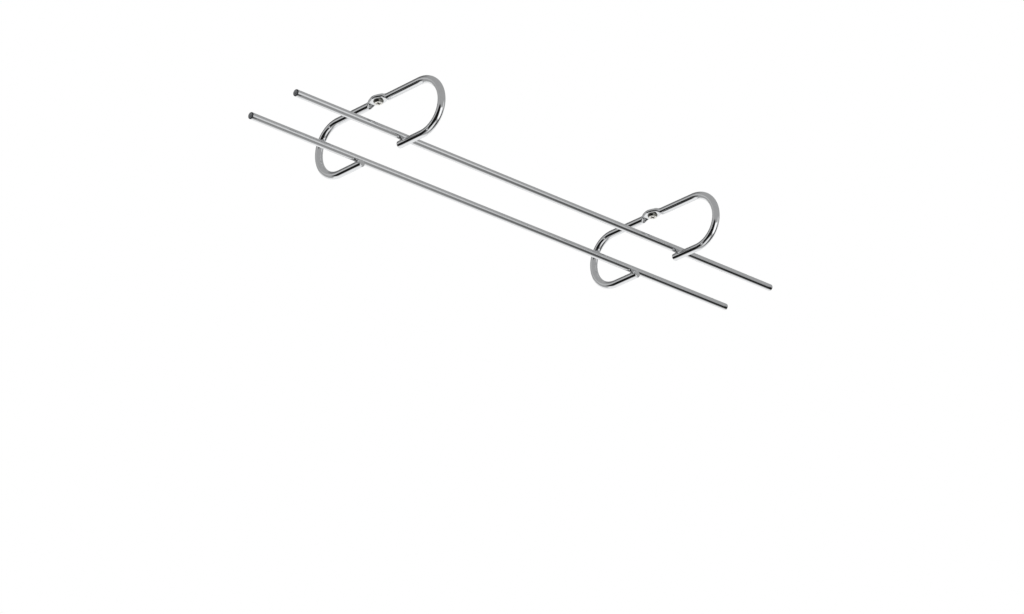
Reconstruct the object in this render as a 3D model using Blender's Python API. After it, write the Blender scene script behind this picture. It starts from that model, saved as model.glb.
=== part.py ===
"""Hanging wine glass rack, bent and welded from chromed round wire.

Two straight rails lie side by side, with a slot between them. Near each end they lie in a hanger:
one wire that is bent round in a half circle at both sides, so that its two arms come back under the
rails. The middle of its bar is pressed into a flat eye for the screw that fixes it.

Units are metres, +Z is up. The origin is in the middle of the plane that bears on the underside of
the cabinet, X runs along the rails and Y across them.
"""
import math

import bmesh
import bpy

MM = 0.001

# Rails
RAIL_LENGTH = 400 * MM
RAIL_DIAMETER = 4.2 * MM
RAIL_SPACING = 36.8 * MM            # centre to centre, across the slot

# Hangers
HANGER_SPACING = 232 * MM           # between the two eyes
HANGER_WIDTH = 105 * MM             # outside, across the bends
HANGER_HEIGHT = 38.2 * MM           # outside, over the bar and the arms
HANGER_DIAMETER = 4.5 * MM
ARM_OVERHANG = 3.4 * MM             # of an arm past the axis of its rail
WELD_SET_DOWN = 0.4 * MM            # how far the weld sinks a rail into its arms

# Eyes, pressed flat in the middle of the hangers
EYE_WIDTH = 9.6 * MM
EYE_THICKNESS = 2.2 * MM
EYE_FLAT_LENGTH = 10 * MM           # along the wire, between the shoulders
EYE_SHOULDER_LENGTH = 2.9 * MM      # along the wire, from its full round to the flat
EYE_RISE = 0.1 * MM                 # of the bearing face over the top of the wire
SCREW_HOLE_DIAMETER = 4.2 * MM
SCREW_HOLE_CHAMFER = 0.35 * MM

# Finish of the wire, and the gap that stands for a weld
WIRE_END_RADIUS = 0.5 * MM
WELD_GAP = 0.3 * MM
CUT_OVERRUN = 5 * MM

# Facets
WIRE_BEVEL_RESOLUTION = 10          # 24 sides
END_STEPS = 4
BEND_STEPS = 30
EYE_STEPS = 40
CUTTER_SIDES = 64
MERGE_DISTANCE = 0.01 * MM
SHARP_ANGLE = math.radians(35)

# Places that follow from the sizes
HANGER_RADIUS = HANGER_DIAMETER / 2
RAIL_RADIUS = RAIL_DIAMETER / 2
SCREW_HOLE_RADIUS = SCREW_HOLE_DIAMETER / 2
EYE_REACH = EYE_FLAT_LENGTH / 2 + EYE_SHOULDER_LENGTH
BEND_RADIUS = (HANGER_HEIGHT - HANGER_DIAMETER) / 2
BEND_CENTRE_Y = HANGER_WIDTH / 2 - HANGER_RADIUS - BEND_RADIUS
BAR_Z = -EYE_RISE - HANGER_RADIUS
BEND_CENTRE_Z = BAR_Z - BEND_RADIUS
ARM_Z = BEND_CENTRE_Z - BEND_RADIUS
ARM_TIP_Y = RAIL_SPACING / 2 - ARM_OVERHANG
RAIL_Z = ARM_Z + HANGER_RADIUS + RAIL_RADIUS - WELD_SET_DOWN

CHROME = (0.78, 0.79, 0.80)


def clear_scene():
    for obj in list(bpy.data.objects):
        bpy.data.objects.remove(obj, do_unlink=True)


def new_collection(name):
    collection = bpy.data.collections.new(name)
    bpy.context.scene.collection.children.link(collection)
    return collection


def metal(name, colour, roughness):
    material = bpy.data.materials.new(name)
    material.use_nodes = True
    shader = material.node_tree.nodes["Principled BSDF"]
    shader.inputs["Base Color"].default_value = (*colour, 1)
    shader.inputs["Metallic"].default_value = 1
    shader.inputs["Roughness"].default_value = roughness
    return material


def shade_round(mesh):
    mesh.shade_smooth()
    mesh.set_sharp_from_angle(angle=SHARP_ANGLE)


def rounded_end(radius):
    """Steps inward from a wire's end face: (distance from the end, share of the wire's radius)."""
    steps = []
    for i in range(END_STEPS + 1):
        angle = math.pi / 2 * i / END_STEPS
        along = WIRE_END_RADIUS * (1 - math.cos(angle))
        across = radius - WIRE_END_RADIUS * (1 - math.sin(angle))
        steps.append((along, across / radius))
    return steps


def end_points(end, inner, radius):
    """Points of the rounded end face at `end`, from the face inwards."""
    length = math.dist(end, inner)
    direction = [(b - a) / length for a, b in zip(end, inner)]
    return [([a + d * along for a, d in zip(end, direction)], share)
            for along, share in rounded_end(radius)]


def wire(name, path, radius, collection):
    """A round wire along a path of (x, y, z) points, with rounded end faces."""
    points = end_points(path[0], path[1], radius)
    points += [(point, 1) for point in path[1:-1]]
    points += end_points(path[-1], path[-2], radius)[::-1]

    curve = bpy.data.curves.new(name, "CURVE")
    curve.dimensions = "3D"
    curve.bevel_depth = radius
    curve.bevel_resolution = WIRE_BEVEL_RESOLUTION
    curve.use_fill_caps = True
    spline = curve.splines.new("POLY")
    spline.points.add(len(points) - 1)
    for point, (place, share) in zip(spline.points, points):
        point.co = (*place, 1)
        point.radius = share
    guide = bpy.data.objects.new(name + "_path", curve)
    collection.objects.link(guide)
    return curve_to_mesh(guide, name, collection)


def curve_to_mesh(guide, name, collection):
    bpy.context.view_layer.update()
    evaluated = guide.evaluated_get(bpy.context.evaluated_depsgraph_get())
    mesh = bpy.data.meshes.new_from_object(evaluated)
    obj = bpy.data.objects.new(name, mesh)
    obj.matrix_world = guide.matrix_world.copy()
    collection.objects.link(obj)
    bpy.data.objects.remove(guide, do_unlink=True)

    cage = bmesh.new()
    cage.from_mesh(mesh)
    bmesh.ops.remove_doubles(cage, verts=cage.verts, dist=MERGE_DISTANCE)
    bmesh.ops.recalc_face_normals(cage, faces=cage.faces)
    cage.to_mesh(mesh)
    cage.free()
    shade_round(mesh)
    return obj


def new_cutter(name, mesh, centre, rotation, collection):
    cutter = bpy.data.objects.new(name, mesh)
    cutter.location = centre
    cutter.rotation_euler = rotation
    cutter.hide_render = True
    cutter.display_type = "WIRE"
    collection.objects.link(cutter)
    return cutter


def rail_cutter(name, y, collection):
    """The room that a rail and its weld take out of the arms under it."""
    mesh = bpy.data.meshes.new(name)
    cage = bmesh.new()
    bmesh.ops.create_cone(cage, cap_ends=True, segments=CUTTER_SIDES,
                          radius1=RAIL_RADIUS + WELD_GAP, radius2=RAIL_RADIUS + WELD_GAP,
                          depth=RAIL_LENGTH + CUT_OVERRUN)
    cage.to_mesh(mesh)
    cage.free()
    return new_cutter(name, mesh, (0, y, RAIL_Z), (0, math.pi / 2, 0), collection)


def hole_cutter(name, x, collection):
    """The screw hole, with a broken edge on both faces of the eye, turned from its half section."""
    bottom = -EYE_THICKNESS
    mouth = SCREW_HOLE_RADIUS + SCREW_HOLE_CHAMFER
    section = [(0, CUT_OVERRUN),
               (mouth + CUT_OVERRUN, CUT_OVERRUN),
               (SCREW_HOLE_RADIUS, -SCREW_HOLE_CHAMFER),
               (SCREW_HOLE_RADIUS, bottom + SCREW_HOLE_CHAMFER),
               (mouth + CUT_OVERRUN, bottom - CUT_OVERRUN),
               (0, bottom - CUT_OVERRUN)]
    mesh = bpy.data.meshes.new(name)
    cage = bmesh.new()
    verts = [cage.verts.new((radius, 0, z)) for radius, z in section]
    edges = [cage.edges.new(pair) for pair in zip(verts, verts[1:])]
    bmesh.ops.spin(cage, geom=verts + edges, cent=(0, 0, 0), axis=(0, 0, 1),
                   angle=2 * math.pi, steps=CUTTER_SIDES)
    bmesh.ops.remove_doubles(cage, verts=cage.verts, dist=MERGE_DISTANCE)
    bmesh.ops.recalc_face_normals(cage, faces=cage.faces)
    cage.to_mesh(mesh)
    cage.free()
    return new_cutter(name, mesh, (x, 0, 0), (0, 0, 0), collection)


def cut(obj, cutter):
    modifier = obj.modifiers.new(cutter.name, "BOOLEAN")
    modifier.operation = "DIFFERENCE"
    modifier.solver = "EXACT"
    modifier.object = cutter


def make_rail(name, side, material, collection):
    """A straight rail; side is -1 for the front one and 1 for the rear one."""
    y = side * RAIL_SPACING / 2
    ends = [(-RAIL_LENGTH / 2, y, RAIL_Z), (RAIL_LENGTH / 2, y, RAIL_Z)]
    rail = wire(name, ends, RAIL_RADIUS, collection)
    rail.data.materials.append(material)
    return rail


def bend_and_arm(x, side):
    """From the end of the bar round one bend and back under the rail."""
    path = []
    for i in range(BEND_STEPS + 1):
        angle = math.pi / 2 - math.pi * i / BEND_STEPS
        y = BEND_CENTRE_Y + BEND_RADIUS * math.cos(angle)
        z = BEND_CENTRE_Z + BEND_RADIUS * math.sin(angle)
        path.append((x, side * y, z))
    path.append((x, side * ARM_TIP_Y, ARM_Z))
    return path


def hanger_path(x):
    """From the tip of the front arm to that of the rear one, with close points along the eye."""
    eye = [(x, EYE_REACH * (2 * i / EYE_STEPS - 1), BAR_Z) for i in range(EYE_STEPS + 1)]
    return bend_and_arm(x, -1)[::-1] + eye + bend_and_arm(x, 1)


def smooth_share(share):
    """0 to 1, with a soft start and end."""
    share = max(0, min(1, share))
    return share * share * (3 - 2 * share)


def press_eye(hanger, x):
    """Press the middle of the bar flat and wide, with its top in the bearing plane."""
    flat_half = EYE_THICKNESS / 2
    for vertex in hanger.data.vertices:
        place = vertex.co
        if abs(place.y) >= EYE_REACH or place.z < BAR_Z - HANGER_DIAMETER:
            continue
        pressed = smooth_share((EYE_REACH - abs(place.y)) / EYE_SHOULDER_LENGTH)
        widened = (1 + math.cos(math.pi * place.y / EYE_REACH)) / 2
        round_height = place.z - BAR_Z
        flat_height = max(-flat_half, min(flat_half, round_height))
        place.x = x + (place.x - x) * (1 + (EYE_WIDTH / HANGER_DIAMETER - 1) * widened)
        place.z = ((BAR_Z + round_height) * (1 - pressed)
                   + (flat_height - flat_half) * pressed)


def make_hanger(name, x, cutters, material, collection):
    """A hanger, pierced in its eye and seated under both rails."""
    hanger = wire(name, hanger_path(x), HANGER_RADIUS, collection)
    press_eye(hanger, x)
    shade_round(hanger.data)
    for cutter in cutters:
        cut(hanger, cutter)
    hanger.data.materials.append(material)
    return hanger


def build():
    clear_scene()
    rack = new_collection("glass_rack")
    cutters = new_collection("cutters")
    hanger_chrome = metal("hanger_chrome", CHROME, 0.06)
    rail_chrome = metal("rail_chrome", CHROME, 0.09)

    seats = []
    for place, side in (("front", -1), ("rear", 1)):
        make_rail(f"rail_{place}", side, rail_chrome, rack)
        seats.append(rail_cutter(f"seat_{place}", side * RAIL_SPACING / 2, cutters))

    for end, side in (("left", -1), ("right", 1)):
        x = side * HANGER_SPACING / 2
        hole = hole_cutter(f"hole_{end}", x, cutters)
        make_hanger(f"hanger_{end}", x, [hole] + seats, hanger_chrome, rack)


build()
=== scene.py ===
"""Looks of the hanging wine glass rack: polished wire, pressed eyes, welds and screw heads.

The camera looks up at the rack from below. Lengths are in metres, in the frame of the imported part:
X along the rails, Y across them, Z up, with the bearing faces of the eyes at Z = 0.
"""
import math

import bmesh
import bpy
from mathutils import Matrix, Vector


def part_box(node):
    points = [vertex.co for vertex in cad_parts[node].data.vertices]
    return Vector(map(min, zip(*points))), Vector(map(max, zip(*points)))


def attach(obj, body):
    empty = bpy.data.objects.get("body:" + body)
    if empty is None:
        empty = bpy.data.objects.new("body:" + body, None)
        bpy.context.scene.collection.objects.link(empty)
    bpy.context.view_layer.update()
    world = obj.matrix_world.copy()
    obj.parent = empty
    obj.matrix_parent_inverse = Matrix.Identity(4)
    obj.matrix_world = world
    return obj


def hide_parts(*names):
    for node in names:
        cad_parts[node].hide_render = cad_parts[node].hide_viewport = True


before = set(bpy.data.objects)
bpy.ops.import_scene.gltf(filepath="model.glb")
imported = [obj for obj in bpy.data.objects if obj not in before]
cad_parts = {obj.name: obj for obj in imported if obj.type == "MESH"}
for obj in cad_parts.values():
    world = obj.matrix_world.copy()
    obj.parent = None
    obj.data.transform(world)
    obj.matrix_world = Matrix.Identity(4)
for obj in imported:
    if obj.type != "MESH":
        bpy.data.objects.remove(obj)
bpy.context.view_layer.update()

MM = 0.001

# Sizes of the hangers that the boxes of the frame don't give
HANGER_RADIUS = 2.25 * MM
ARM_OVERHANG = 3.4 * MM             # of an arm past the axis of its rail
EYE_THICKNESS = 2.2 * MM
EYE_FLAT_LENGTH = 10 * MM
EYE_SHOULDER_LENGTH = 2.9 * MM
EYE_RISE = 0.1 * MM                 # of the bearing face over the top of the wire
EYE_REACH = EYE_FLAT_LENGTH / 2 + EYE_SHOULDER_LENGTH
HOLE_RADIUS = 2.1 * MM
HOLE_CHAMFER = 0.35 * MM
HOLE_MARGIN = 0.01 * MM             # past the mouth of the hole, for points that belong to it
CUT_OVERRUN = 1 * MM

# Detail of the wire
WIRE_SIDES = 56
END_RADIUS = 0.55 * MM              # of the tumbled edge at a cropped end
END_DISH = 0.12 * MM                # of the cropped face, towards its middle
CROPPED_FACE_SQUARENESS = 0.96      # a face of the end is rim where its normal's X is less
END_STEPS = 8
BEND_STEPS = 90
EYE_STEPS = 120
STRAIGHT_STEP = 4 * MM
TURNED_SIDES = 96

# Welds
WELD_STEPS = 72
WELD_RINGS = 10
CROSS_WELD_LONG = 3.0 * MM          # reach of a weld's toe along a wire
CROSS_WELD_SHARE = 0.9              # of the wire's radius that the toe reaches across it

# Fixing screws, which end just under the bearing faces of the eyes
HEAD_RADIUS = 3.1 * MM
HEAD_HEIGHT = 1.5 * MM
HEAD_CROWN_RADIUS = 2.6 * MM
HEAD_EDGE_RADIUS = 0.35 * MM
HEAD_STEPS = 12
SHANK_RADIUS = 1.7 * MM
HEAD_SHARP_ANGLE = math.radians(40)
FLANK_STEEPNESS = 0.75              # a face of the head is flank where its normal's Z is less
RECESS_DEPTH = 1.4 * MM
RECESS_MOUTH = (1.6 * MM, 0.45 * MM)    # half length and half width of an arm
RECESS_FLOOR = (0.7 * MM, 0.32 * MM)
RECESS_TURNS = {"left": math.radians(28), "right": math.radians(8)}

# Finishes: colour, roughness where dull and where bright, scale of the grain, height of the peel
FINISHES = {
    "rail_plating": ((0.80, 0.81, 0.82), 0.10, 0.06, 900, 0.002 * MM),
    # The rim of a rail's cropped end is near black: painted shade that stands for the dark reflection
    # there.
    "cropped_rim_painted_shade": ((0.07, 0.07, 0.08), 0.30, 0.20, 1500, 0.004 * MM),
    # The face inside that rim is darker cut steel, darkened further with painted shade for the dark
    # reflection there.
    "cropped_face_steel_and_painted_shade": ((0.27, 0.28, 0.29), 0.30, 0.20, 1500, 0.004 * MM),
    "hanger_plating": ((0.80, 0.81, 0.82), 0.07, 0.03, 700, 0.002 * MM),
    "weld_plating": ((0.72, 0.72, 0.73), 0.22, 0.10, 1500, 0.02 * MM),
    "crown_plating": ((0.76, 0.75, 0.71), 0.14, 0.07, 1200, 0.002 * MM),
    # The flank of a screw head and the walls of its cross recess are dark grey: painted shade, for
    # the dark reflection on the flank and the shade in the recess.
    "flank_painted_shade": ((0.22, 0.22, 0.20), 0.34, 0.22, 1800, 0.02 * MM),
}
GRAIN_DETAIL = 5
GRAIN_SPAN = (0.3, 0.7)             # of the noise, from bright to dull
TINT_SPAN = (0.35, 0.65)            # of the noise, from the darker tint to the full colour
DARK_TINT_SHARE = 0.94
PEEL_SCALE = 260
PEEL_DETAIL = 1

# Camera, as fitted to the photograph
PHOTO_WIDTH = 1024
FOCAL_PIXELS = 4730
SENSOR_WIDTH = 36
CAMERA_AZIMUTH = math.radians(-46.95)
CAMERA_ELEVATION = math.radians(-24.58)
CAMERA_ROLL = math.radians(-2.90)
CAMERA_DISTANCE = 2777 * MM
CAMERA_OFFSET_RIGHT = -5.68 * MM
CAMERA_OFFSET_UP = -59.67 * MM
CAMERA_REACH = 500                  # past which the camera sees nothing

# Studio
FLOOR_Z = -3.0
FLOOR_SIZE = 120
FLOOR_CUTS = 2
FLOOR_COLOUR = (0.9, 0.9, 0.9, 1)
FLOOR_ROUGHNESS = 0.9
LAMP_STRENGTH = 1.6
LAMP_ANGLE = math.radians(80)
LAMP_TILT = (math.radians(25), math.radians(-20), 0)

# The room that the metal reflects. Axes: RIGHT of the camera, AWAY from it, and UP. Each card has a
# brightness and the bands of direction that it fills: (axis, from, to, softness). A later card
# covers the ones before it. OPEN lies past the end of every axis.
RIGHT, AWAY, UP = (1, 0, 0), (0, 1, 0), (0, 0, 1)
AWAY_AND_UP = (0, 1, 1)
UP_LEANING = (0.55, 0.60, 1)
OPEN = 2
WHITE = (1, 1, 1, 1)
ROOM_LEVEL = 0.41
CARDS = (
    ("backdrop", 1.0, ((AWAY, 0.68, OPEN, 0.08), (UP, -0.85, 0.20, 0.08))),
    ("table at the left", 1.0, ((RIGHT, -OPEN, 0.05, 0.10), (AWAY, 0.26, OPEN, 0.07),
                                (UP, -0.90, -0.50, 0.06))),
    ("upper left light", 0.60, ((RIGHT, -OPEN, -0.72, 0.06), (AWAY, -0.40, 0.12, 0.10),
                                (UP, 0.12, 0.42, 0.08))),
    ("window in front", 1.30, ((RIGHT, 0.27, 0.90, 0.08), (AWAY, -OPEN, -0.12, 0.06),
                               (UP, -0.74, -0.18, 0.05))),
    ("low front light", 1.00, ((RIGHT, -0.35, 0.30, 0.08), (AWAY, -0.60, 0.02, 0.06),
                               (UP, -OPEN, -0.80, 0.04))),
    ("lower right flag", 0.030, ((RIGHT, 0.20, OPEN, 0.08), (AWAY, -0.08, OPEN, 0.06),
                                 (UP, -0.98, -0.60, 0.04), (AWAY_AND_UP, -OPEN, -0.50, 0.05))),
    ("left flag", 0.010, ((UP_LEANING, -OPEN, -0.60, 0.06), (RIGHT, -OPEN, 0.15, 0.06),
                          (AWAY, -OPEN, 0.17, 0.06), (UP, -0.74, OPEN, 0.06))),
    ("gap in the left flag", 0.70, ((RIGHT, -OPEN, -0.60, 0.06), (AWAY, -0.43, -0.375, 0.02),
                                    (UP, -0.72, 0.10, 0.05))),
    ("upper left beam", 0.16, ((RIGHT, -0.90, -0.04, 0.04), (AWAY, 0.05, OPEN, 0.08),
                               (UP, 0.50, 0.90, 0.06))),
    ("right fill", 0.85, ((RIGHT, 0.80, OPEN, 0.10), (AWAY, -0.40, -0.01, 0.03),
                          (UP, -0.42, 0.15, 0.10))),
    ("right flag", 0.010, ((RIGHT, 0.20, OPEN, 0.10), (AWAY, 0.07, 0.56, 0.05),
                           (UP, -0.73, -0.10, 0.05), (AWAY_AND_UP, -0.43, 0.40, 0.06))),
)


def smooth_object(name, mesh, finishes, slot, *replaced, pick=lambda face: 0):
    """A finished piece: smooth, on the only body, standing for the named CAD nodes.

    Each face has the finish whose number `pick` gives for it.
    """
    piece = bpy.data.objects.new(name, mesh)
    bpy.context.scene.collection.objects.link(piece)
    mesh.materials.clear()
    for finish in finishes:
        mesh.materials.append(finish)
    for polygon in mesh.polygons:
        polygon.use_smooth = True
        polygon.material_index = pick(polygon)
    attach(piece, "root")
    if replaced:
        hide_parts(*replaced)


def mesh_of_rings(name, rings, start_point, end_point):
    """A closed skin over equal rings of points, with a point in the middle of either end."""
    cage = bmesh.new()
    loops = [[cage.verts.new(point) for point in ring] for ring in rings]
    count = len(loops[0])
    for lower, upper in zip(loops, loops[1:]):
        for i in range(count):
            j = (i + 1) % count
            cage.faces.new((lower[i], lower[j], upper[j], upper[i]))
    for loop, point in ((loops[0], start_point), (loops[-1], end_point)):
        tip = cage.verts.new(point)
        for i in range(count):
            cage.faces.new((loop[i], loop[(i + 1) % count], tip))
    bmesh.ops.recalc_face_normals(cage, faces=cage.faces)
    mesh = bpy.data.meshes.new(name)
    cage.to_mesh(mesh)
    cage.free()
    return mesh


def turned_mesh(name, x, section):
    """A solid turned about the upright axis at x from a half section of (radius, z) points."""
    turns = [2 * math.pi * i / TURNED_SIDES for i in range(TURNED_SIDES)]
    rings = [[(x + radius * math.cos(turn), radius * math.sin(turn), z) for turn in turns]
             for radius, z in section]
    return mesh_of_rings(name, rings, (x, 0, section[0][1]), (x, 0, section[-1][1]))


def cut_away(mesh, cutter_mesh):
    """The mesh without the room that the cutter takes."""
    body = bpy.data.objects.new("body", mesh)
    cutter = bpy.data.objects.new("cutter", cutter_mesh)
    for obj in (body, cutter):
        bpy.context.scene.collection.objects.link(obj)
    modifier = body.modifiers.new("cut", "BOOLEAN")
    modifier.operation = "DIFFERENCE"
    modifier.solver = "EXACT"
    modifier.object = cutter
    bpy.context.view_layer.update()
    result = bpy.data.meshes.new_from_object(
        body.evaluated_get(bpy.context.evaluated_depsgraph_get()))
    for obj in (body, cutter):
        bpy.data.objects.remove(obj, do_unlink=True)
    return result


def end_profile(radius):
    """(distance inwards from the end, distance from the axis), from the middle of the face out."""
    steps = []
    flat = radius - END_RADIUS
    for i in range(1, END_STEPS + 1):
        share = i / END_STEPS
        steps.append((END_DISH * (math.cos(share * math.pi) + 1) / 2, flat * share))
    for i in range(1, END_STEPS + 1):
        angle = math.pi / 2 * i / END_STEPS
        steps.append((END_RADIUS * (1 - math.cos(angle)), flat + END_RADIUS * math.sin(angle)))
    return steps


def densify(start, end, longest=STRAIGHT_STEP):
    """Points after `start` up to `end`, no further apart than the longest step."""
    count = max(1, math.ceil((end - start).length / longest))
    return [start.lerp(end, i / count) for i in range(1, count + 1)]


def wire_mesh(name, path, radius, plane_normal):
    """A round wire along a flat path, with tumbled ends whose cropped faces are a little dished."""
    tangents = []
    for i in range(len(path)):
        before, after = path[max(i - 1, 0)], path[min(i + 1, len(path) - 1)]
        tangents.append((after - before).normalized())

    def ring(centre, tangent, size):
        across = plane_normal.cross(tangent).normalized()
        return [centre + size * (math.cos(turn) * plane_normal + math.sin(turn) * across)
                for turn in (2 * math.pi * k / WIRE_SIDES for k in range(WIRE_SIDES))]

    profile = end_profile(radius)
    start, first = path[0], tangents[0]
    end, last = path[-1], tangents[-1]
    rings = [ring(start + first * inset, first, size) for inset, size in profile]
    rings += [ring(point, tangent, radius) for point, tangent in zip(path[1:-1], tangents[1:-1])]
    rings += [ring(end - last * inset, last, size) for inset, size in reversed(profile)]
    return mesh_of_rings(name, rings, start + first * END_DISH, end - last * END_DISH)


def measure_rail(place):
    """Sizes and place of a rail, read from its box."""
    low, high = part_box(f"rail_{place}")
    centre = (low + high) / 2
    return {"start": Vector((low.x, centre.y, centre.z)), "end": Vector((high.x, centre.y, centre.z)),
            "y": centre.y, "z": centre.z, "radius": (high.z - low.z) / 2}


def measure_hanger(node, rail_y):
    """Sizes of a hanger, read from its box; its arms reach in as far as a rail at rail_y needs."""
    low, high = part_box(node)
    bar_z = high.z - EYE_RISE - HANGER_RADIUS
    arm_z = low.z + HANGER_RADIUS
    bend_radius = (bar_z - arm_z) / 2
    return {"x": (low.x + high.x) / 2, "eye_width": high.x - low.x, "top_z": high.z,
            "bar_z": bar_z, "arm_z": arm_z, "bend_radius": bend_radius,
            "bend_z": (bar_z + arm_z) / 2, "bend_y": high.y - HANGER_RADIUS - bend_radius,
            "tip_y": rail_y - ARM_OVERHANG}


def hanger_path(hanger):
    """From beside the eye to the tip of the front arm and, the other way, of the rear arm."""
    x, bar_z = hanger["x"], hanger["bar_z"]

    def half(side):
        shoulder = Vector((x, side * EYE_REACH, bar_z))
        path = densify(shoulder, Vector((x, side * hanger["bend_y"], bar_z)))
        for i in range(1, BEND_STEPS + 1):
            angle = math.pi / 2 - math.pi * i / BEND_STEPS
            path.append(Vector((
                x, side * (hanger["bend_y"] + hanger["bend_radius"] * math.cos(angle)),
                hanger["bend_z"] + hanger["bend_radius"] * math.sin(angle))))
        return path + densify(path[-1], Vector((x, side * hanger["tip_y"], hanger["arm_z"])))

    front, rear = Vector((x, -EYE_REACH, bar_z)), Vector((x, EYE_REACH, bar_z))
    eye = [front] + densify(front, rear, 2 * EYE_REACH / EYE_STEPS)
    return half(-1)[::-1] + eye + half(1)


def smooth_share(share):
    """0 to 1, with a soft start and end."""
    share = max(0, min(1, share))
    return share * share * (3 - 2 * share)


def press_eye(mesh, hanger):
    """Press the middle of the bar flat and wide, as in the CAD, with its top in the bearing plane."""
    x, bar_z, flat_half = hanger["x"], hanger["bar_z"], EYE_THICKNESS / 2
    widening = hanger["eye_width"] / (2 * HANGER_RADIUS) - 1
    for vertex in mesh.vertices:
        place = vertex.co
        if abs(place.y) >= EYE_REACH or place.z < bar_z - 2 * HANGER_RADIUS:
            continue
        pressed = smooth_share((EYE_REACH - abs(place.y)) / EYE_SHOULDER_LENGTH)
        widened = (1 + math.cos(math.pi * place.y / EYE_REACH)) / 2
        round_height = place.z - bar_z
        flat_height = max(-flat_half, min(flat_half, round_height))
        place.x = x + (place.x - x) * (1 + widening * widened)
        place.z = ((bar_z + round_height) * (1 - pressed)
                   + (hanger["top_z"] + flat_height - flat_half) * pressed)


def hole_cutter(hanger):
    top, bottom = hanger["top_z"], hanger["top_z"] - EYE_THICKNESS
    mouth = HOLE_RADIUS + HOLE_CHAMFER
    return turned_mesh("hole", hanger["x"], [
        (mouth + CUT_OVERRUN, top + CUT_OVERRUN), (HOLE_RADIUS, top - HOLE_CHAMFER),
        (HOLE_RADIUS, bottom + HOLE_CHAMFER), (mouth + CUT_OVERRUN, bottom - CUT_OVERRUN)])


def sharpen_hole(mesh, hanger):
    """Keep the edges of the screw hole crisp."""
    reach = HOLE_RADIUS + HOLE_CHAMFER + HOLE_MARGIN
    near = [(v.co.xy - Vector((hanger["x"], 0))).length < reach for v in mesh.vertices]
    for edge in mesh.edges:
        edge.use_edge_sharp = near[edge.vertices[0]] and near[edge.vertices[1]]


def hanger_mesh(name, hanger):
    mesh = wire_mesh(name, hanger_path(hanger), HANGER_RADIUS, Vector((1, 0, 0)))
    press_eye(mesh, hanger)
    mesh = cut_away(mesh, hole_cutter(hanger))
    sharpen_hole(mesh, hanger)
    return mesh


def recess_arm(hanger, face_z, turn):
    """One arm of the cross recess, tapering into the head."""
    cage = bmesh.new()
    corners = []
    deeper = (RECESS_MOUTH[0] - RECESS_FLOOR[0]) / RECESS_DEPTH * CUT_OVERRUN
    for (long, wide), z in ((RECESS_FLOOR, face_z + RECESS_DEPTH),
                            ((RECESS_MOUTH[0] + deeper, RECESS_MOUTH[1]), face_z - CUT_OVERRUN)):
        for end, side in ((-1, -1), (1, -1), (1, 1), (-1, 1)):
            place = Vector((end * long, side * wide, z))
            place.rotate(Matrix.Rotation(turn, 3, "Z"))
            corners.append(cage.verts.new(place + Vector((hanger["x"], 0, 0))))
    bmesh.ops.convex_hull(cage, input=cage.verts)
    mesh = bpy.data.meshes.new("recess")
    cage.to_mesh(mesh)
    cage.free()
    return mesh


def screw_mesh(name, hanger, turn):
    """A domed screw head under the eye, with its cross recess, and the shank within the eye."""
    seat = hanger["top_z"] - EYE_THICKNESS
    section = [(SHANK_RADIUS, hanger["top_z"] - EYE_RISE), (SHANK_RADIUS, seat),
               (HEAD_RADIUS, seat)]
    slant = math.atan2(HEAD_RADIUS - HEAD_CROWN_RADIUS, HEAD_HEIGHT)
    for i in range(HEAD_STEPS + 1):
        angle = slant + (math.pi / 2 - slant) * i / HEAD_STEPS
        section.append((HEAD_CROWN_RADIUS - HEAD_EDGE_RADIUS * (1 - math.cos(angle)),
                        seat - HEAD_HEIGHT + HEAD_EDGE_RADIUS * (1 - math.sin(angle))))
    mesh = turned_mesh(name, hanger["x"], section)
    for arm_turn in (turn, turn + math.pi / 2):
        mesh = cut_away(mesh, recess_arm(hanger, seat - HEAD_HEIGHT, arm_turn))
    mesh.set_sharp_from_angle(angle=HEAD_SHARP_ANGLE)
    return mesh


def bezier(start, middle, end, share):
    """A point on the curve from start to end that leans towards the middle point."""
    return start * (1 - share) ** 2 + middle * 2 * share * (1 - share) + end * share ** 2


def cross_weld_mesh(name, rail, hanger):
    """The fillet squeezed out round a rail where it sinks into the arm under it."""
    x, y, arm_z = hanger["x"], rail["y"], hanger["arm_z"]
    drop = rail["z"] - arm_z
    notch_x = math.sqrt(HANGER_RADIUS ** 2 - (drop - rail["radius"]) ** 2)
    notch_y = math.sqrt(rail["radius"] ** 2 - (drop - HANGER_RADIUS) ** 2)

    def under_rail(dx, dy):
        return Vector((x + dx, y + dy, rail["z"] - math.sqrt(rail["radius"] ** 2 - dy ** 2)))

    def over_arm(dx, dy):
        return Vector((x + dx, y + dy, arm_z + math.sqrt(HANGER_RADIUS ** 2 - dx ** 2)))

    sections = []
    for i in range(WELD_STEPS):
        turn = 2 * math.pi * i / WELD_STEPS
        on_x, on_y = math.cos(turn), math.sin(turn)
        top = under_rail(CROSS_WELD_LONG * on_x, CROSS_WELD_SHARE * rail["radius"] * on_y)
        dx, dy = notch_x * on_x, notch_y * on_y
        notch = (under_rail(dx, dy) + over_arm(dx, dy)) / 2
        bottom = over_arm(CROSS_WELD_SHARE * HANGER_RADIUS * on_x, CROSS_WELD_LONG * on_y)
        sections.append([bezier(top, notch, bottom, k / WELD_RINGS) for k in range(WELD_RINGS + 1)])
    rings = [list(ring) for ring in zip(*sections)]
    return mesh_of_rings(name, rings, Vector((x, y, rail["z"])), Vector((x, y, arm_z)))


def add_node(tree, kind, **values):
    node = tree.nodes.new(kind)
    for key, value in values.items():
        setattr(node, key, value)
    return node


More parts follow.
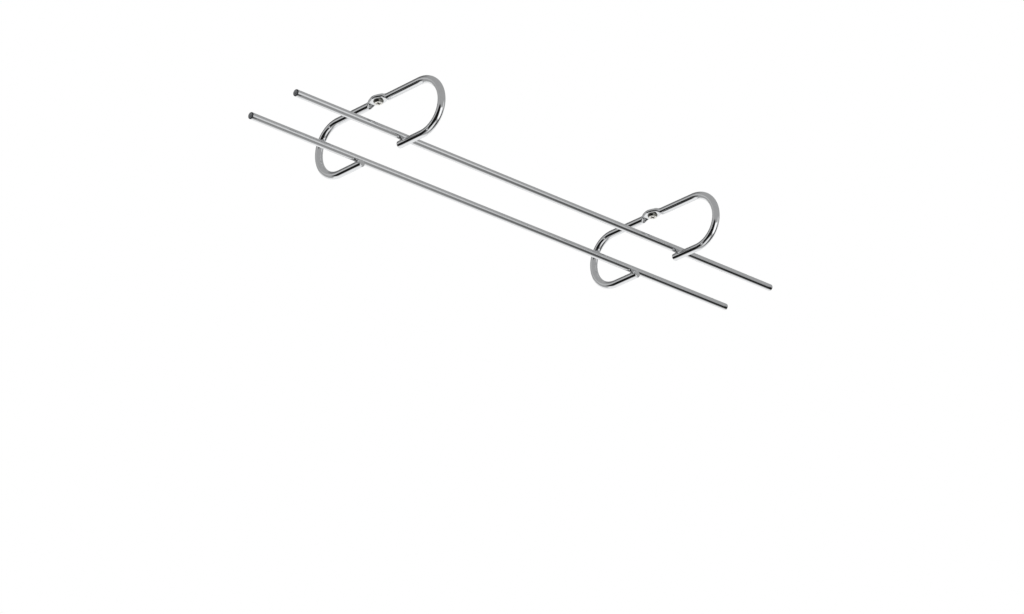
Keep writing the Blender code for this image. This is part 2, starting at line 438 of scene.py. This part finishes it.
def plating(name):
    """Plated metal: tint and roughness drift with a fine grain, over a faint orange peel."""
    colour, dull, bright, grain_scale, peel_height = FINISHES[name]
    material = bpy.data.materials.new(name)
    material.use_nodes = True
    tree = material.node_tree
    shader = tree.nodes["Principled BSDF"]
    shader.inputs["Metallic"].default_value = 1
    coords = add_node(tree, "ShaderNodeTexCoord")
    grain = add_node(tree, "ShaderNodeTexNoise")
    grain.inputs["Scale"].default_value = grain_scale
    grain.inputs["Detail"].default_value = GRAIN_DETAIL
    tree.links.new(coords.outputs["Object"], grain.inputs["Vector"])

    rough = add_node(tree, "ShaderNodeMapRange")
    rough.inputs["From Min"].default_value = GRAIN_SPAN[0]
    rough.inputs["From Max"].default_value = GRAIN_SPAN[1]
    rough.inputs["To Min"].default_value = bright
    rough.inputs["To Max"].default_value = dull
    tree.links.new(grain.outputs["Fac"], rough.inputs["Value"])
    tree.links.new(rough.outputs["Result"], shader.inputs["Roughness"])

    tint = add_node(tree, "ShaderNodeValToRGB")
    for element, position, share in zip(tint.color_ramp.elements, TINT_SPAN, (DARK_TINT_SHARE, 1)):
        element.position = position
        element.color = (*[share * value for value in colour], 1)
    tree.links.new(grain.outputs["Fac"], tint.inputs["Fac"])
    tree.links.new(tint.outputs["Color"], shader.inputs["Base Color"])

    peel = add_node(tree, "ShaderNodeTexNoise")
    peel.inputs["Scale"].default_value = PEEL_SCALE
    peel.inputs["Detail"].default_value = PEEL_DETAIL
    bump = add_node(tree, "ShaderNodeBump")
    bump.inputs["Strength"].default_value = 1
    bump.inputs["Distance"].default_value = peel_height
    tree.links.new(coords.outputs["Object"], peel.inputs["Vector"])
    tree.links.new(peel.outputs["Fac"], bump.inputs["Height"])
    tree.links.new(bump.outputs["Normal"], shader.inputs["Normal"])
    return material


def rail_zone(face, end_x):
    """0 along a rail, 1 on the rim of its cropped end and 2 on the face inside the rim. The rim's
    finish is painted shade; the face's finish is darker cut steel with painted shade.
    """
    if abs(face.center.x) < end_x - END_RADIUS:
        return 0
    return 2 if abs(face.normal.x) > CROPPED_FACE_SQUARENESS else 1


def screw_zone(face):
    """0 on the crown of a screw head and 1 on its flank and the walls of its recess. The flank finish
    is painted shade, for the dark reflection on the flank and the shade in the recess.
    """
    return 1 if abs(face.normal.z) < FLANK_STEEPNESS else 0


def make_rails(rails):
    # The finishes of the cropped ends are painted shade: the rim fully, the face on top of the darker
    # cut steel.
    finishes = [plating(name) for name in ("rail_plating", "cropped_rim_painted_shade", "cropped_face_steel_and_painted_shade")]
    for place, rail in rails.items():
        start, end = rail["start"], rail["end"]
        mesh = wire_mesh(f"rail_{place}_wire", [start] + densify(start, end), rail["radius"],
                         Vector((0, 0, 1)))
        smooth_object(f"rail_{place}_wire", mesh, finishes, "rail_chrome", f"rail_{place}",
                      pick=lambda face: rail_zone(face, end.x))


def make_hangers(rails):
    """Both hangers, with the welds on their arms and the screws in their eyes."""
    wire_finishes = [plating("hanger_plating")]
    weld_finishes = [plating("weld_plating")]
    # The crown has the head's own plating; the flank finish is painted shade.
    head_finishes = [plating("crown_plating"), plating("flank_painted_shade")]
    for end in ("left", "right"):
        hanger = measure_hanger(f"hanger_{end}", rails["rear"]["y"])
        mesh = hanger_mesh(f"hanger_{end}_wire", hanger)
        smooth_object(f"hanger_{end}_wire", mesh, wire_finishes, "hanger_chrome", f"hanger_{end}")
        mesh = screw_mesh(f"screw_{end}", hanger, RECESS_TURNS[end])
        smooth_object(f"screw_{end}", mesh, head_finishes, "hanger_chrome", pick=screw_zone)
        for place, rail in rails.items():
            name = f"weld_{place}_{end}"
            mesh = cross_weld_mesh(name, rail, hanger)
            smooth_object(name, mesh, weld_finishes, "rail_chrome")


def make_camera(rail_z):
    data = bpy.data.cameras.new("camera")
    data.sensor_width = SENSOR_WIDTH
    data.lens = FOCAL_PIXELS * SENSOR_WIDTH / PHOTO_WIDTH
    data.clip_end = CAMERA_REACH
    camera = bpy.data.objects.new("camera", data)
    bpy.context.scene.collection.objects.link(camera)
    bpy.context.scene.camera = camera

    azimuth, elevation, roll = CAMERA_AZIMUTH, CAMERA_ELEVATION, CAMERA_ROLL
    back = Vector((math.sin(azimuth) * math.cos(elevation), -math.cos(azimuth) * math.cos(elevation),
                   math.sin(elevation)))
    level = Vector((math.cos(azimuth), math.sin(azimuth), 0))
    upright = level.cross(-back)
    right = math.cos(roll) * level + math.sin(roll) * upright
    up = -math.sin(roll) * level + math.cos(roll) * upright
    target = Vector((0, 0, rail_z)) + CAMERA_OFFSET_RIGHT * right + CAMERA_OFFSET_UP * up
    axes = Matrix((right, up, back)).transposed().to_4x4()
    camera.matrix_world = Matrix.Translation(target + CAMERA_DISTANCE * back) @ axes


def make_floor():
    bpy.ops.mesh.primitive_grid_add(x_subdivisions=FLOOR_CUTS, y_subdivisions=FLOOR_CUTS,
                                    size=FLOOR_SIZE, location=(0, 0, FLOOR_Z))
    floor = bpy.context.object
    floor.name = "floor"
    material = bpy.data.materials.new("floor")
    material.use_nodes = True
    shader = material.node_tree.nodes["Principled BSDF"]
    shader.inputs["Base Color"].default_value = FLOOR_COLOUR
    shader.inputs["Roughness"].default_value = FLOOR_ROUGHNESS
    floor.data.materials.append(material)
    floor.visible_glossy = False


def make_lamp():
    """A wide soft lamp from above, which the polished metal doesn't show."""
    data = bpy.data.lights.new("lamp", "SUN")
    data.energy = LAMP_STRENGTH
    data.angle = LAMP_ANGLE
    lamp = bpy.data.objects.new("lamp", data)
    lamp.rotation_euler = LAMP_TILT
    lamp.visible_glossy = False
    bpy.context.scene.collection.objects.link(lamp)


def soft_band(tree, value, low, high, softness):
    """1 where the value is between low and high, with soft sides."""
    masks = []
    for outside, inside in ((low - softness, low + softness), (high + softness, high - softness)):
        ramp = add_node(tree, "ShaderNodeMapRange", interpolation_type="SMOOTHSTEP")
        ramp.inputs["From Min"].default_value = outside
        ramp.inputs["From Max"].default_value = inside
        tree.links.new(value, ramp.inputs["Value"])
        masks.append(ramp.outputs["Result"])
    return product(tree, masks)


def product(tree, values):
    total = values[0]
    for value in values[1:]:
        both = add_node(tree, "ShaderNodeMath", operation="MULTIPLY")
        tree.links.new(total, both.inputs[0])
        tree.links.new(value, both.inputs[1])
        total = both.outputs[0]
    return total


def along(tree, direction, axis):
    """How far the unit direction points along an axis of the room."""
    dot = add_node(tree, "ShaderNodeVectorMath", operation="DOT_PRODUCT")
    tree.links.new(direction, dot.inputs[0])
    dot.inputs[1].default_value = axis
    return dot.outputs["Value"]


def make_studio():
    """White to the camera; polished metal sees a room of soft cards, set round the camera."""
    world = bpy.data.worlds.new("studio")
    bpy.context.scene.world = world
    world.use_nodes = True
    tree = world.node_tree
    tree.nodes.clear()
    coords = add_node(tree, "ShaderNodeTexCoord")
    turn = add_node(tree, "ShaderNodeMapping", vector_type="NORMAL")
    turn.inputs["Rotation"].default_value = (0, 0, -CAMERA_AZIMUTH)
    tree.links.new(coords.outputs["Generated"], turn.inputs["Vector"])

    brightness = add_node(tree, "ShaderNodeValue").outputs[0]
    brightness.default_value = ROOM_LEVEL
    for name, level, bands in CARDS:
        masks = [soft_band(tree, along(tree, turn.outputs["Vector"], axis), low, high, softness)
                 for axis, low, high, softness in bands]
        mix = add_node(tree, "ShaderNodeMix", data_type="FLOAT", label=name)
        tree.links.new(product(tree, masks), mix.inputs["Factor"])
        tree.links.new(brightness, mix.inputs["A"])
        mix.inputs["B"].default_value = level
        brightness = mix.outputs["Result"]

    rays = add_node(tree, "ShaderNodeLightPath")
    room = add_node(tree, "ShaderNodeBackground")
    room.inputs["Color"].default_value = WHITE
    tree.links.new(brightness, room.inputs["Strength"])
    white = add_node(tree, "ShaderNodeBackground")
    white.inputs["Color"].default_value = WHITE
    either = add_node(tree, "ShaderNodeMixShader")
    tree.links.new(rays.outputs["Is Camera Ray"], either.inputs["Fac"])
    tree.links.new(room.outputs["Background"], either.inputs[1])
    tree.links.new(white.outputs["Background"], either.inputs[2])
    output = add_node(tree, "ShaderNodeOutputWorld")
    tree.links.new(either.outputs["Shader"], output.inputs["Surface"])


rails = {place: measure_rail(place) for place in ("front", "rear")}
make_rails(rails)
make_hangers(rails)
make_camera(rails["rear"]["z"])
make_floor()
make_lamp()
make_studio()
bpy.context.scene.view_settings.view_transform = "Standard"
